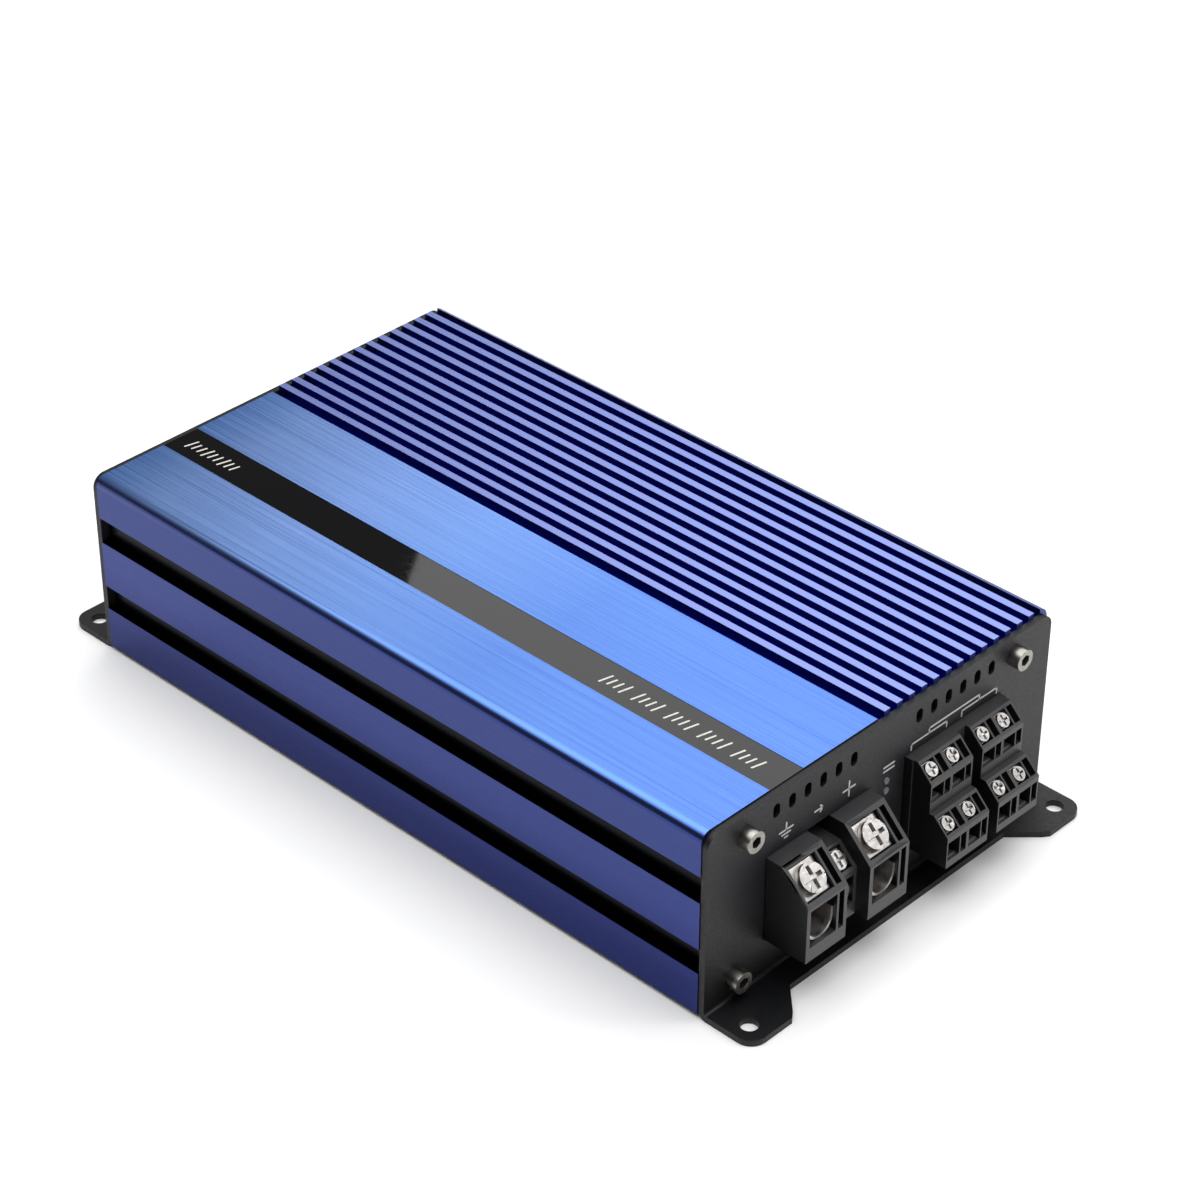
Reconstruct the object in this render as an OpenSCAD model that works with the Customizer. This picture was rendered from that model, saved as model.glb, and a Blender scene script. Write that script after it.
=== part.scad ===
// Four-channel car amplifier: finned aluminium extrusion, two steel end plates with mounting feet,
// screw terminals at the +X end, signal inputs and controls at the -X end.
// Frame: +X along the extrusion towards the terminals, +Z up, origin under the middle on the surface
// that the feet stand on. All lengths are in millimetres.

/* [Housing extrusion] */
// Length of the extrusion between the end plates
body_l = 238; // [220:1:260]
// Width of the extrusion
body_w = 140; // [138:1:144]
// Height of the flat top above the surface the feet stand on
flat_z = 60.5; // [60:0.5:62]
// Gap between the underside of the extrusion and the surface
body_bottom_z = 1.5; // [1:0.5:2]
// Thickness of the side walls
side_wall = 5.5; // [5:0.5:6]
// Depth of the two long grooves in each side
groove_d = 3; // [1:0.5:3]
// Radius of the long top edges
edge_r = 3; // [1:0.5:3]

/* [Cooling fins] */
// Number of fins
fin_count = 14; // [10:1:14]
// Distance from one fin to the next
fin_pitch = 5.07; // [4.8:0.01:5.07]
// Thickness of a fin
fin_t = 2.33; // [1.8:0.01:3]
// How far the fins stand above the flat top
fin_rise = 1; // [0:0.5:2]
// Height of a fin from the floor of its gap
fin_h = 4.5; // [2:0.5:4.5]

/* [Top strip] */
// Width of the black strip let into the flat top
strip_w = 13; // [8:0.5:16]
// Thickness of the strip
strip_t = 0.9; // [0.5:0.1:1.2]

/* [End plates] */
// Thickness of the bent steel sheet
plate_t = 2; // [1.5:0.5:2]
// Length of a mounting foot, outwards from the plate
foot_l = 17; // [17:0.5:20]
// Depth of the stiffening flange between the feet
flange_l = 8; // [6:0.5:10]
// Diameter of the mounting holes
mount_hole_d = 5.2; // [4:0.1:6]
// Distance of a mounting hole from the middle, across the amplifier
mount_hole_y = 64; // [62:0.5:65]
// Distance of a mounting hole from the outside of its plate
mount_hole_out = 10.8; // [10:0.1:11]
// Number of cooling slots in each of the two rows
vent_count = 6; // [3:1:6]

/* [Terminals] */
// Width of one large power terminal
power_cell_w = 15.8; // [15.5:0.1:16]
// Width of one speaker terminal
speaker_cell_w = 8.8; // [8.8:0.1:9]
// How far a large power clamp closes
power_travel = 3; // [1:0.1:3]
// How far the remote clamp closes
remote_travel = 2.4; // [1:0.1:2.4]
// How far a speaker clamp closes
speaker_travel = 2; // [1:0.1:2]

/* [Hidden] */
$fn = 48;
half_l = body_l / 2;
half_w = body_w / 2;
plate_x = half_l + plate_t;
gap = 0.05;
eps = 0.01;
slope = 45;

inner_y = half_w - side_wall;
flat_ceiling_z = flat_z - 3.5;
fin_top_z = flat_z + fin_rise;
fin_floor_z = fin_top_z - fin_h;
fin_ceiling_z = fin_floor_z - 1.8;
first_fin_y = 0.75;
fin_gap = fin_pitch - fin_t;
flat_end_y = first_fin_y - fin_gap;
ledge_t = 2.2;
ledge_y = 54.7;
cover_t = 1.5;
cover_top_z = body_bottom_z + cover_t;
groove_1 = [38.3, 46.8];
groove_2 = [15, 23];
strip_y = -38;
strip_top_gap = 0.1;

// Screw channels of the extrusion, as [y, z], and the screws that go into them
top_ports = [[-55.5, 53], [53.7, 53.7]];
port_bottom = [58.5, 8.3];
port_wall_r = 3.8;
port_r = 1.7;
ports = [top_ports[0], top_ports[1],
         [-port_bottom[0], port_bottom[1]], [port_bottom[0], port_bottom[1]]];
socket_head_r = 3.2;
socket_head_h = 3.8;
socket_depth = 2.2;
socket_r = 1.75;
socket_shank = 12;
screw_hole_r = 2.2;

// Countersunk screws of the bottom cover
cover_screw_x = [-90, 0, 90];
cover_screw_y = 61.7;
cover_screw_r = 1.2;
cover_screw_l = 6.5;
cover_head_r = 2.3;
cover_head_h = 1.1;

// End plate outline
plate_top_z = flat_z - 0.5;
plate_half_w = half_w - 0.3;
plate_corner_r = 4;
bend_r = 1;
vent_pitch = 6.08;
vent_first_y = 13.3;
vent_z = 54.6;
vent_w = 2.6;
vent_h = 4.4;
foot_inner_y = 52.3;
foot_root_y = 45;

// Printed circuit board
board_t = 1.6;
board_top_z = 14;
board_bottom_z = board_top_z - board_t;
board_x = 116.5;
board_y = 63;
standoff_x = [-96, 0, 100];
standoff_y = 51.5;
standoff_r = 2.8;
spigot_r = 1.8;
board_hole_r = 1.35;

// Power terminal block: a cell's front edge, slope and floor
power_left_y = -47;
remote_w = 9;
power_front = 14.5;
power_top_z = 41;
power_slope = 9.5;
power_screw_y = 6.6;
remote_front = 10;
remote_top_z = 35.5;
remote_slope = 6;
block_inside = 15;
power_hole_z = [18.4, 30.6];
remote_hole_z = [18.5, 27.6];
trough_r = 5.1;
trough_z = 23.6;
trough_rim = 2.4;
remote_trough_r = 3.2;
remote_trough_z = 21.9;
remote_trough_rim = 1.2;
gnd_y = power_left_y + power_screw_y;
remote_y = power_left_y + power_cell_w + remote_w / 2;
battery_y = power_left_y + power_cell_w + remote_w + power_screw_y;
power_right_y = power_left_y + 2 * power_cell_w + remote_w;
power_mid = [plate_x + power_front - power_slope / 2, power_top_z - power_slope / 2];
remote_mid = [plate_x + remote_front - remote_slope / 2, remote_top_z - remote_slope / 2];

// Speaker terminal block: two tiers of four cells, in pairs
speaker_left_y = 8.7;
pair_pitch = 21.7;
tier_slope = 5;
upper_front = 9;
upper_top_z = 43.7;
lower_front = 15.7;
lower_top_z = 29.1;
speaker_screw_y = 2.95;
speaker_slot_y = 5.9;
speaker_slot_w = 2.3;
speaker_well = 2.4;
speaker_hole = 2.5;
upper_hole_z = [32.4, 37.2];
lower_hole_z = [16.4, 22.4];
upper_mid = [plate_x + upper_front - tier_slope / 2, upper_top_z - tier_slope / 2];
lower_mid = [plate_x + lower_front - tier_slope / 2, lower_top_z - tier_slope / 2];
speaker_right_y = speaker_left_y + pair_pitch + 2 * speaker_cell_w;

// Clamp screws: head and shank radii, head and clamp plate thickness, height of the head over the slope
power_screw = [4.2, 2.4, 2.2, 1.2, 0.8];
remote_screw_size = [2.7, 1.6, 1.7, 0.9, 0.5];
speaker_screw = [2.1, 1.4, 1.5, 0.8, 0];
power_shank = 14.4;
remote_shank = 9.9;
speaker_shank = 8;
power_clamp_half = 4.8;
remote_clamp_half = 2.9;
speaker_clamp_half = 2.2;

// Light pipes between the two blocks
light_y = 0.6;
light_z = [36.6, 39.9];
light_r = 1;

// Control panel at the -X end
knob_y = [-50, -36, -22, -8];
knob_z = 25;
knob_r = 5;
knob_h = 7.5;
shaft_r = 3;
switch_y = [8, 22];
switch_z = 20;
lever_w = 2.6;
lever_h = 2.4;
lever_travel = 2;
jack_y = [40, 54];
jack_z = [23, 39];
jack_r = 4.15;
jack_out = 9;

// Parts on the board, as [x, y]
transformer_at = [68, -26];
core_in_r = 10;
core_out_r = 20;
core_h = 14;
core_z = board_top_z + 3.2;
turn_count = 22;
wire_t = 2.2;
inductor_at = [[62, 18], [62, 40], [86, 18], [86, 40]];
input_cap_at = [[32, -44], [32, -24], [32, -4]];
rail_cap_at = [[8, 14], [8, 34], [28, 14], [28, 34]];
cap_r = 8;
input_cap_h = 31;
rail_cap_h = 26;
chip_at = [[-20, -20], [-20, 10], [-50, -20], [-50, 10], [-75, 25]];
transistor_x = [for (i = [0:7]) -77 + 22 * i];
clamp_screw_x = [for (i = [0:3]) -66 + 44 * i];
transistor_w = 10;
transistor_body_z = 23.5;
pad_t = 0.4;
device_t = 4.4;
bar_t = 2;
bar_z = 28;
bar_half_l = 84;
clamp_screw_r = 1.5;

// ---- helpers ----

// Extrudes a [y, z] outline along X, starting at x0
module along_x(x0, length) {
    translate([x0, 0, 0])
        rotate([90, 0, 90])
            linear_extrude(height = length)
                children();
}

// Axis-aligned block between two corners
module block(low, high) {
    translate(low)
        cube([high[0] - low[0], high[1] - low[1], high[2] - low[2]]);
}

// Puts its children in the frame of a sloped face: local +Z points out of the face
module on_slope(mid, y) {
    translate([mid[0], y, mid[1]])
        rotate([0, slope, 0])
            children();
}

// Rod along X from x0 to x1
module rod_x(x0, x1, y, z, r) {
    translate([min(x0, x1), y, z])
        rotate([0, 90, 0])
            cylinder(h = abs(x1 - x0), r = r);
}

// Mirrors the +X end onto the -X end
module to_input_end() {
    mirror([1, 0, 0])
        children();
}

// ---- casing ----

module side_grooves() {
    for (side = [-1, 1], g = [groove_1, groove_2])
        translate([side * (half_w - groove_d / 2 + 1) - groove_d / 2 - 1, g[0]])
            square([groove_d + 2, g[1] - g[0]]);
}

// Body outline with its two long top edges rounded; the outermost fin is all rounding
module outer_outline() {
    fin_edge_r = edge_r + fin_rise;
    translate([-half_w, body_bottom_z])
        square([body_w, flat_z - edge_r - body_bottom_z]);
    translate([-half_w + edge_r, flat_z - edge_r])
        circle(r = edge_r);
    translate([-half_w + edge_r, flat_z - 2 * edge_r])
        square([half_w - edge_r + flat_end_y, 2 * edge_r]);
    translate([0, flat_z - 2 * edge_r])
        square([half_w - fin_edge_r, fin_top_z - flat_z + 2 * edge_r]);
    translate([half_w - fin_edge_r, fin_top_z - fin_edge_r])
        circle(r = fin_edge_r);
}

module fin_gaps() {
    for (i = [0:fin_count - 1])
        translate([first_fin_y - fin_gap + i * fin_pitch, fin_floor_z])
            square([fin_gap, fin_h + 1]);
}

module port_walls() {
    for (p = ports)
        translate(p)
            circle(r = port_wall_r);
    for (p = top_ports)
        translate([p[0] - port_wall_r, p[1]])
            square([2 * port_wall_r, flat_ceiling_z - p[1]]);
}

module ledges() {
    for (side = [0, 1])
        mirror([side, 0])
            translate([ledge_y, cover_top_z])
                square([inner_y - ledge_y + 1, ledge_t]);
    for (side = [0, 1])
        mirror([side, 0])
            translate([port_bottom[0], cover_top_z])
                square([inner_y - port_bottom[0] + 1, port_bottom[1] - cover_top_z]);
}

module housing_profile() {
    difference() {
        outer_outline();
        side_grooves();
        fin_gaps();
        translate([strip_y - strip_w / 2, flat_z - strip_t - strip_top_gap])
            square([strip_w, strip_t + 1]);
        difference() {
            union() {
                translate([-inner_y, body_bottom_z - 1])
                    square([2 * inner_y, fin_ceiling_z - body_bottom_z + 1]);
                translate([-inner_y, fin_ceiling_z - 1])
                    square([inner_y + flat_end_y - 1, flat_ceiling_z - fin_ceiling_z + 1]);
            }
            port_walls();
            ledges();
        }
        for (p = ports)
            translate(p)
                circle(r = port_r);
    }
}

module heatsink_housing() {
    color("#3f66c4")
        difference() {
            along_x(-half_l, body_l)
                housing_profile();
            cover_screw_places()
                cylinder(h = 8, r = cover_screw_r + gap);
            for (x = clamp_screw_x, side = [-1, 1])
                translate([x, side * inner_y, bar_z])
                    rotate([90 * -side, 0, 0])
                        translate([0, 0, -1])
                            cylinder(h = 5, r = clamp_screw_r + gap);
        }
}

module top_strip() {
    color("#141416")
        block([-half_l, strip_y - strip_w / 2 + gap, flat_z - strip_top_gap - strip_t],
              [half_l, strip_y + strip_w / 2 - gap, flat_z - strip_top_gap]);
}

module cover_screw_places() {
    for (x = cover_screw_x, side = [-1, 1])
        translate([x, side * cover_screw_y, body_bottom_z])
            children();
}

module bottom_cover() {
    color("#2b2b2d")
        difference() {
            block([-half_l + 0.2, -inner_y + 0.3, body_bottom_z],
                  [half_l - 0.2, inner_y - 0.3, cover_top_z]);
            cover_screw_places() {
                translate([0, 0, -1])
                    cylinder(h = cover_t + 2, r = cover_screw_r + 2 * gap);
                cylinder(h = cover_head_h, r1 = cover_head_r + gap, r2 = cover_screw_r + gap);
            }
            standoff_places()
                translate([0, 0, body_bottom_z - 1])
                    cylinder(h = 4, r = spigot_r + gap);
        }
}

module bottom_cover_screws() {
    color("#8d9093")
        cover_screw_places() {
            difference() {
                cylinder(h = cover_head_h, r1 = cover_head_r, r2 = cover_screw_r);
                cross_recess(0.5, 2.6, 0.6);
            }
            translate([0, 0, cover_head_h - 0.1])
                cylinder(h = cover_screw_l - cover_head_h + 0.1, r = cover_screw_r);
        }
}

// Cross recess cut upwards from z = 0, for a head that faces down
module cross_recess(width, length, depth) {
    for (a = [0, 90])
        rotate([0, 0, a])
            translate([-length / 2, -width / 2, -1])
                cube([length, width, depth + 1]);
}

// ---- end plates, modelled at the +X end ----

module plate_outline() {
    square_bottom_z = bend_r + plate_t;
    translate([-plate_half_w, square_bottom_z])
        square([2 * plate_half_w, plate_top_z - plate_corner_r - square_bottom_z]);
    translate([-plate_half_w + plate_corner_r, plate_top_z - 2 * plate_corner_r])
        square([2 * (plate_half_w - plate_corner_r), 2 * plate_corner_r]);
    for (side = [-1, 1])
        translate([side * (plate_half_w - plate_corner_r), plate_top_z - plate_corner_r])
            circle(r = plate_corner_r);
}

module vent_slots() {
    for (side = [-1, 1], i = [0:vent_count - 1])
        translate([side * (vent_first_y + i * vent_pitch), vent_z]) {
            square([vent_w, vent_h - vent_w], center = true);
            for (end = [-1, 1])
                translate([0, end * (vent_h - vent_w) / 2])
                    circle(r = vent_w / 2);
        }
}

// Quarter bend between the upright sheet and the flange
module plate_bend() {
    outer_r = bend_r + plate_t;
    translate([half_l + outer_r, plate_half_w, outer_r])
        rotate([90, 0, 0])
            linear_extrude(height = 2 * plate_half_w)
                intersection() {
                    difference() {
                        circle(r = outer_r);
                        circle(r = bend_r);
                    }
                    translate([-outer_r, -outer_r])
                        square([outer_r, outer_r]);
                }
}

// Flange with a foot at each end, seen from above
module flange_outline() {
    start_x = half_l + bend_r + plate_t;
    foot_r = 5;
    tip_x = plate_x + foot_l;
    translate([start_x, -plate_half_w])
        square([plate_x + flange_l - start_x, 2 * plate_half_w]);
    for (side = [0, 1])
        mirror([0, side]) {
            polygon([[start_x, plate_half_w], [tip_x - foot_r, plate_half_w],
                     [tip_x, plate_half_w - foot_r], [tip_x, foot_inner_y + 2],
                     [tip_x - 1.5, foot_inner_y], [plate_x + flange_l, foot_root_y],
                     [start_x, foot_root_y]]);
            translate([tip_x - foot_r, plate_half_w - foot_r])
                circle(r = foot_r);
        }
}

module plate_flange() {
    difference() {
        linear_extrude(height = plate_t)
            flange_outline();
        for (side = [-1, 1])
            translate([plate_x + mount_hole_out, side * mount_hole_y, -1])
                cylinder(h = plate_t + 2, r = mount_hole_d / 2);
    }
}

// Bent sheet with its feet and screw holes; the children are cut out of the upright part
module end_plate() {
    along_x(half_l, plate_t)
        difference() {
            plate_outline();
            for (p = ports)
                translate(p)
                    circle(r = screw_hole_r);
            children();
        }
    plate_bend();
    plate_flange();
}

module terminal_end_plate() {
    color("#3a3a3c")
        end_plate() {
            vent_slots();
            translate([power_left_y - 0.3, board_top_z - 0.3])
                square([power_right_y - power_left_y + 0.6, power_top_z - board_top_z + 0.6]);
            translate([speaker_left_y - 0.7, board_top_z - 0.3])
                square([speaker_right_y - speaker_left_y + 1.4, upper_top_z - board_top_z + 0.6]);
            for (z = light_z)
                translate([light_y, z])
                    circle(r = light_r + 0.1);
        }
}

module input_end_plate() {
    color("#3a3a3c")
        to_input_end()
            end_plate() {
                for (y = knob_y)
                    translate([y, knob_z])
                        circle(r = shaft_r + 0.5);
                for (y = switch_y)
                    translate([y, switch_z])
                        square([lever_w + 2 * lever_travel + 1.4, lever_h + 1.4], center = true);
                for (y = jack_y, z = jack_z)
                    translate([y, z])
                        circle(r = jack_r + 0.25);
            }
}

// Socket-head screw along +X, its head seated at x = 0
module socket_screw() {
    rotate([0, 90, 0])
        difference() {
            union() {
                cylinder(h = socket_head_h, r = socket_head_r);
                translate([0, 0, -socket_shank])
                    cylinder(h = socket_shank + eps, r = port_r - gap);
            }
            translate([0, 0, socket_head_h - socket_depth])
                cylinder(h = socket_depth + 1, r = socket_r, $fn = 6);
        }
}

module plate_screw_set() {
    for (p = ports)
        translate([plate_x, p[0], p[1]])
            socket_screw();
}

module terminal_plate_screws() {
    color("#b9bcc0")
        plate_screw_set();
}

module input_plate_screws() {
    color("#b9bcc0")
        to_input_end()
            plate_screw_set();
}

// ---- terminals ----

// Side outline of a terminal: level top, sloped screw face, upright wire face
module cell_outline(front, top_z, face, back, floor_z) {
    polygon([[plate_x - back, floor_z], [plate_x + front, floor_z],
             [plate_x + front, top_z - face], [plate_x + front - face, top_z],
             [plate_x - back, top_z]]);
}

// Extrudes an [x, z] outline along Y
module along_y(y0, width) {
    translate([0, y0 + width, 0])
        rotate([90, 0, 0])
            linear_extrude(height = width)
                children();
}

// Square screw well sunk at right angles into a sloped face
module screw_well(half_x, half_y, depth) {
    translate([-half_x, -half_y, -depth])
        cube([2 * half_x, 2 * half_y, depth + 5]);
}

// Hole for the shank of a clamp screw, below its well
module shank_hole(r, length) {
    translate([0, 0, -length])
        cylinder(h = length, r = r);
}

module power_cell_cuts(y, front, mid, half_well, depth, hole_z, size, shank, travel) {
    on_slope(mid, y) {
        screw_well(half_well, half_well, depth);
        shank_hole(size[1] + 0.3, shank - size[4] + travel + 1);
    }
    block([plate_x - 8, y - half_well, hole_z[0]], [plate_x + front + 1, y + half_well, hole_z[1]]);
}

module power_terminal_block() {
    battery_left = power_left_y + power_cell_w + remote_w;
    slot_w = 2;
    slot_at = power_screw_y + 6;
    color("#2f2f31")
        difference() {
            union() {
                for (y = [power_left_y, battery_left])
                    along_y(y, power_cell_w)
                        cell_outline(power_front, power_top_z, power_slope, block_inside, board_top_z);
                along_y(power_left_y + power_cell_w - eps, remote_w + 2 * eps)
                    cell_outline(remote_front, remote_top_z, remote_slope, block_inside, board_top_z);
            }
            for (y = [gnd_y, battery_y])
                power_cell_cuts(y, power_front, power_mid, 5.2, 7.6, power_hole_z, power_screw,
                    power_shank, power_travel);
            power_cell_cuts(remote_y, remote_front, remote_mid, 3.3, 5.9, remote_hole_z,
                remote_screw_size, remote_shank, remote_travel);
            for (y = [power_left_y, battery_left])
                block([plate_x + 4, y + slot_at, power_hole_z[0]],
                      [plate_x + power_front + 1, y + slot_at + slot_w, power_hole_z[1]]);
            for (y = [power_left_y, battery_left])
                on_slope(power_mid, y + slot_at + slot_w / 2)
                    screw_well(5.2, slot_w / 2, 4);
        }
}

// Round-bottomed trough that the bare wire end lies in, and its solder tail
module wire_trough(y, z, r, front, rim) {
    wall = 0.8;
    difference() {
        union() {
            rod_x(plate_x - 7, plate_x + front, y, z, r);
            block([plate_x - 7, y - r, z], [plate_x + front, y + r, z + rim]);
        }
        rod_x(plate_x - 8, plate_x + front + 1, y, z, r - wall);
        block([plate_x - 8, y - r + wall, z], [plate_x + front + 1, y + r - wall, z + rim + r]);
    }
}

module power_contacts() {
    color("#c9c6bd") {
        for (y = [gnd_y, battery_y])
            wire_trough(y, trough_z, trough_r, power_front - 1.2, trough_rim);
        wire_trough(remote_y, remote_trough_z, remote_trough_r, remote_front - 1, remote_trough_rim);
    }
}

// Round cross-slot head, washer face and shank; the face of the slope is local z = 0
module clamp_screw(size, shank) {
    head_r = size[0];
    top = size[4];
    head_h = size[2];
    slot_w = head_r * 0.3;
    difference() {
        union() {
            translate([0, 0, top - head_h])
                cylinder(h = head_h, r = head_r);
            translate([0, 0, top - shank])
                cylinder(h = shank - head_h + eps, r = size[1]);
        }
        for (a = [0, 90])
            rotate([0, 0, a])
                translate([-head_r * 0.78, -slot_w / 2, top - head_h * 0.6])
                    cube([head_r * 1.56, slot_w, head_h]);
    }
}

// Square pressure plate that hangs under the screw head
module clamp_plate(size, half) {
    top = size[4] - size[2] - gap;
    difference() {
        translate([-half, -half, top - size[3]])
            cube([2 * half, 2 * half, size[3]]);
        translate([0, 0, top - size[3] - 1])
            cylinder(h = size[3] + 2, r = size[1] + gap);
    }
}

module ground_clamp() {
    color("#cfccc4")
        on_slope(power_mid, gnd_y)
            clamp_plate(power_screw, power_clamp_half);
}

module ground_screw() {
    color("#d6d6d8")
        on_slope(power_mid, gnd_y)
            clamp_screw(power_screw, power_shank);
}

module battery_clamp() {
    color("#cfccc4")
        on_slope(power_mid, battery_y)
            clamp_plate(power_screw, power_clamp_half);
}

module battery_screw() {
    color("#d6d6d8")
        on_slope(power_mid, battery_y)
            clamp_screw(power_screw, power_shank);
}

module remote_clamp() {
    color("#cfccc4")
        on_slope(remote_mid, remote_y)
            clamp_plate(remote_screw_size, remote_clamp_half);
}

module remote_screw() {
    color("#d6d6d8")
        on_slope(remote_mid, remote_y)
            clamp_screw(remote_screw_size, remote_shank);
}

// Left edge of speaker cell i in 0..3
function speaker_cell_y(i) = speaker_left_y + floor(i / 2) * pair_pitch + (i % 2) * speaker_cell_w;

// Cells 1 to 4 are the upper tier and 5 to 8 the lower one
function speaker_mid(n) = n <= 4 ? upper_mid : lower_mid;
function speaker_y(n) = speaker_cell_y((n - 1) % 4) + speaker_screw_y;

module speaker_cell_cuts(y, front, mid, hole_z) {
    slot_y = y + speaker_slot_y;
    on_slope(mid, y + speaker_screw_y) {
        screw_well(2.6, speaker_well, 5.1);
        shank_hole(speaker_screw[1] + 0.3, speaker_shank - speaker_screw[4] + speaker_travel + 1);
    }
    block([plate_x - 4, y + speaker_screw_y - speaker_hole, hole_z[0]],
          [plate_x + front + 1, y + speaker_screw_y + speaker_hole, hole_z[1]]);
    block([plate_x + front - 5, slot_y, hole_z[0]],
          [plate_x + front + 1, slot_y + speaker_slot_w, hole_z[1]]);
    on_slope(mid, slot_y + speaker_slot_w / 2)
        screw_well(2.6, speaker_slot_w / 2, 2.4);
}

module speaker_terminal_block() {
    pair_w = 2 * speaker_cell_w;
    color("#2f2f31")
        difference() {
            union() {
                for (pair = [0, 1])
                    along_y(speaker_left_y + pair * pair_pitch, pair_w) {
                        cell_outline(upper_front, upper_top_z, tier_slope, block_inside, board_top_z);
                        cell_outline(lower_front, lower_top_z, tier_slope, block_inside, board_top_z);
                    }
                block([plate_x - block_inside, speaker_left_y - 0.4, board_top_z],
                      [plate_x + 2.5, speaker_right_y + 0.4, upper_top_z]);
            }
            for (i = [0:3]) {
                speaker_cell_cuts(speaker_cell_y(i), upper_front, upper_mid, upper_hole_z);
                speaker_cell_cuts(speaker_cell_y(i), lower_front, lower_mid, lower_hole_z);
            }
        }
}

// Flat contact strip on the floor of each speaker wire hole
module speaker_contacts() {
    strip = 0.5;
    color("#c9c6bd")
        for (i = [0:3]) {
            y = speaker_cell_y(i) + speaker_screw_y;
            block([plate_x - 3.5, y - 1.9, upper_hole_z[0]],
                  [plate_x + upper_front - 1, y + 1.9, upper_hole_z[0] + strip]);
            block([plate_x - 3.5, y - 1.9, lower_hole_z[0]],
                  [plate_x + lower_front - 1, y + 1.9, lower_hole_z[0] + strip]);
        }
}

module speaker_clamp(n) {
    color("#cfccc4")
        on_slope(speaker_mid(n), speaker_y(n))
            clamp_plate(speaker_screw, speaker_clamp_half);
}

module speaker_clamp_screw(n) {
    color("#d6d6d8")
        on_slope(speaker_mid(n), speaker_y(n))
            clamp_screw(speaker_screw, speaker_shank);
}

// ---- circuit board and what it carries ----

module standoff_places() {
    for (x = standoff_x, side = [-1, 1])
        translate([x, side * standoff_y, 0])
            children();
}

module main_board() {
    color("#1f5a34")
        difference() {
            block([-board_x, -board_y, board_bottom_z], [board_x, board_y, board_top_z]);
            standoff_places()
                translate([0, 0, board_bottom_z - 1])
                    cylinder(h = board_t + 2, r = board_hole_r);
        }
}

// Round spacers pressed into the bottom cover
module board_standoffs() {
    color("#c2a35a")
        standoff_places()
            difference() {
                union() {
                    translate([0, 0, cover_top_z])
                        cylinder(h = board_bottom_z - cover_top_z, r = standoff_r);
                    translate([0, 0, body_bottom_z])
                        cylinder(h = cover_t + eps, r = spigot_r);
                }
                translate([0, 0, cover_top_z + 2])
                    cylinder(h = board_bottom_z, r = board_hole_r - gap);
            }
}

module board_screws() {
    color("#8d9093")
        standoff_places()
            difference() {
                union() {
                    translate([0, 0, board_top_z])
                        cylinder(h = 1.6, r = 2.3);
                    translate([0, 0, board_top_z - 6])
                        cylinder(h = 6 + eps, r = board_hole_r - 2 * gap);
                }
                for (a = [0, 90])
                    translate([0, 0, board_top_z + 1.6])
                        rotate([0, 0, a])
                            cube([3, 0.6, 1.4], center = true);
            }
}

module transformer_core() {
    color("#4b5d52")
        translate([transformer_at[0], transformer_at[1], core_z])
            difference() {
                cylinder(h = core_h, r = core_out_r);
                translate([0, 0, -1])
                    cylinder(h = core_h + 2, r = core_in_r);
            }
}

// Thick copper turns, each a closed rectangular loop round the core
module transformer_winding() {
    color("#b87333")
        translate([transformer_at[0], transformer_at[1], core_z])
            for (i = [0:turn_count - 1])
                rotate([0, 0, i * 360 / turn_count])
                    difference() {
                        translate([core_in_r - wire_t - 0.1, -wire_t / 2, -wire_t - 0.1])
                            cube([core_out_r - core_in_r + 2 * wire_t + 0.2, wire_t,
                                  core_h + 2 * wire_t + 0.2]);
                        translate([core_in_r - 0.1, -wire_t, -0.1])
                            cube([core_out_r - core_in_r + 0.2, 2 * wire_t, core_h + 0.2]);
                    }
}

// Upright can with a rolled groove near its foot and a scored top
module capacitor(r, h) {
    difference() {
        cylinder(h = h, r = r);
        translate([0, 0, 2])
            difference() {
                cylinder(h = 1, r = r + 1);
                translate([0, 0, -1])
                    cylinder(h = 3, r = r - 0.5);
            }
        for (a = [0, 90])
            translate([0, 0, h])
                rotate([0, 0, a])
                    cube([r * 1.2, 0.5, 0.6], center = true);
    }
}

module input_capacitors() {
    color("#20222b")
        for (p = input_cap_at)
            translate([p[0], p[1], board_top_z])
                capacitor(cap_r, input_cap_h);
}

module rail_capacitors() {
    color("#20222b")
        for (p = rail_cap_at)
            translate([p[0], p[1], board_top_z])
                capacitor(cap_r, rail_cap_h);
}

// Drum cores with a copper winding wall between two flanges
module output_inductors() {
    color("#3c3f41")
        for (p = inductor_at)
            translate([p[0], p[1], board_top_z]) {
                cylinder(h = 2, r = 9);
                translate([0, 0, 2 - eps])
                    cylinder(h = 12 + 2 * eps, r = 8);
                translate([0, 0, 14])
                    cylinder(h = 2, r = 9);
            }
}

// Dual-in-line driver and control chips
module control_chips() {
    color("#1b1c1f")
        for (p = chip_at)
            translate([p[0], p[1], board_top_z]) {
                translate([-9, -3.2, 0.6])
                    cube([18, 6.4, 3.2]);
                for (i = [0:6], side = [-1, 1])
                    translate([-7.62 + 2.54 * i - 0.3, side * 3.6 - 0.5, 0])
                        cube([0.6, 1, 2]);
            }
}

// Upright power devices, tab to the wall, legs down to the board
module transistor(side) {
    back = inner_y - pad_t;
    mirror([0, side < 0 ? 1 : 0, 0]) {
        block([-transistor_w / 2, back - device_t, transistor_body_z],
              [transistor_w / 2, back, transistor_body_z + 9]);
        difference() {
            block([-transistor_w / 2, back - 1.3, transistor_body_z + 9 - eps],
                  [transistor_w / 2, back, transistor_body_z + 15.5]);
            translate([0, back + 1, transistor_body_z + 12.4])
                rotate([90, 0, 0])
                    cylinder(h = 4, r = 1.8);
        }
        for (i = [-1:1])
            block([i * 2.54 - 0.4, back - 3, board_top_z], [i * 2.54 + 0.4, back - 2.4,
                  transistor_body_z + eps]);
    }
}

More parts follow.
